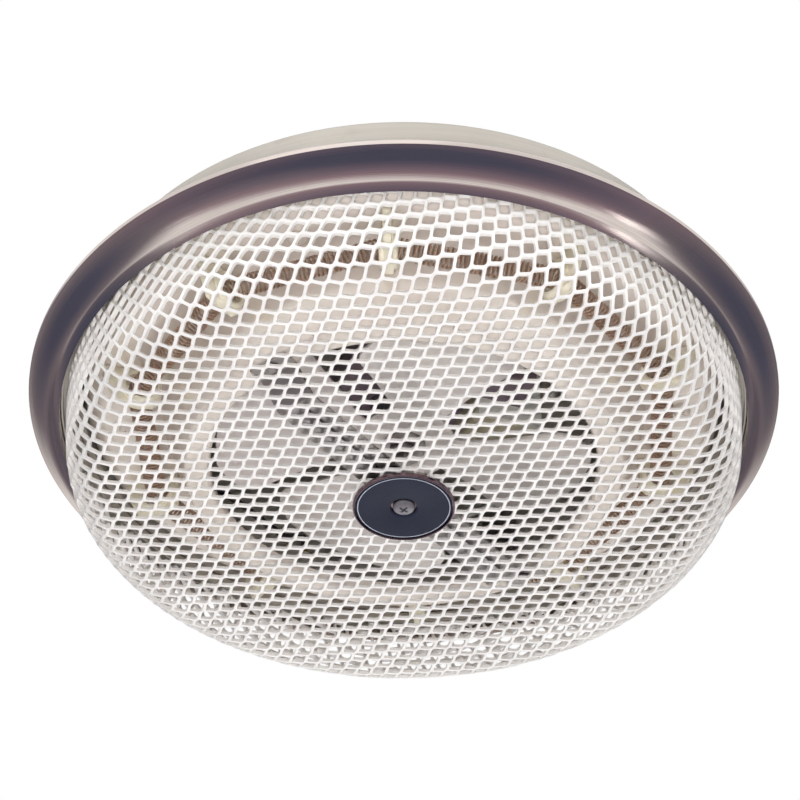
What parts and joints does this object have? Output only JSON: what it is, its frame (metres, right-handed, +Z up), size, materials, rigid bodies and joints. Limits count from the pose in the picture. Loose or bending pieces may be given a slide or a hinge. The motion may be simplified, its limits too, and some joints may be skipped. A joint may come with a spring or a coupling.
{
  "type": "bathroom ceiling heater",
  "caption": "Round fan-forced ceiling heater: a flanged drum with a flared rim, a dished reflector with a wound coil and a fan, and an expanded-metal basket held by one centre screw.",
  "frame": {"origin": "centre of the drum's back face, which lies on the ceiling", "axes": "+Z up into the ceiling along the fan's axis; +Y away from the viewer of the picture; +X to the viewer's right"},
  "size_m": [0.286, 0.286, 0.0794],
  "materials": {
    "drum_aluminium": "satin",
    "rim_aluminium": "polished",
    "grille_aluminium": "satin",
    "reflector_aluminium": "polished",
    "fan_aluminium": "satin",
    "plated_steel": "plated",
    "dark_steel": "blackened",
    "laminations": "varnished",
    "copper": "bare copper",
    "brass": "bare",
    "resistance_wire": "oxidised",
    "ceramic": "unglazed",
    "winding_wrap": "cloth tape over copper wire",
    "dark_plastic": "moulded",
    "white_plastic": "moulded",
    "black_sleeve": "sleeved wire",
    "white_sleeve": "sleeved wire"
  },
  "bodies": {
    "heater": {"housing_pan": "drum_aluminium", "trim_ring": "rim_aluminium", "grille_basket": "grille_aluminium", "grille_hem": "reflector_aluminium", "badge_cup": "copper", "badge_disc": "dark_plastic", "grille_screw": "dark_steel", "backing_washer": "plated_steel", "reflector_pan": "reflector_aluminium", "heater_coil": "resistance_wire", "ground_screw": "brass", "wire_bushing": "dark_plastic", "grille_strap": "plated_steel", "strap_nut": "plated_steel", "strap_rivet_1": "plated_steel", "strap_rivet_2": "plated_steel", "reflector_bracket_1": "plated_steel", "reflector_bracket_2": "plated_steel", "reflector_bracket_3": "plated_steel", "reflector_bracket_4": "plated_steel", "reflector_screw_1": "reflector_aluminium", "reflector_screw_2": "reflector_aluminium", "reflector_screw_3": "reflector_aluminium", "reflector_screw_4": "reflector_aluminium", "coil_support_1": "ceramic", "coil_support_2": "ceramic", "coil_support_3": "ceramic", "coil_support_4": "ceramic", "coil_support_5": "ceramic", "coil_support_6": "ceramic", "coil_support_7": "ceramic", "coil_support_8": "ceramic", "coil_support_9": "ceramic", "coil_support_10": "ceramic", "terminal_bushing_1": "ceramic", "terminal_bushing_2": "ceramic", "terminal_stud_1": "brass", "terminal_stud_2": "brass", "limit_switch": "dark_plastic", "thermal_fuse": "white_plastic", "line_lead": "black_sleeve", "heater_lead": "black_sleeve", "neutral_lead": "white_sleeve", "motor_lead": "white_sleeve", "motor_bracket": "plated_steel", "motor_stator": "laminations", "motor_bobbin": "white_plastic", "motor_winding": "winding_wrap", "bearing_bracket_rear": "plated_steel", "bearing_bracket_front": "plated_steel", "motor_screw_1": "plated_steel", "motor_screw_2": "plated_steel", "shading_ring_1": "copper", "shading_ring_2": "copper"},
    "rotor": {"motor_rotor": "dark_steel", "motor_shaft": "plated_steel", "fan_wheel": "fan_aluminium", "fan_hub": "plated_steel", "fan_set_screw": "dark_steel", "fan_retainer": "plated_steel"}
  },
  "joints": [
    {"name": "fan_spin", "type": "hinge", "parent": "heater", "child": "rotor", "pos_m": [0, 0, -0.02], "axis": [0, 0, 1], "continuous": true}
  ]
}
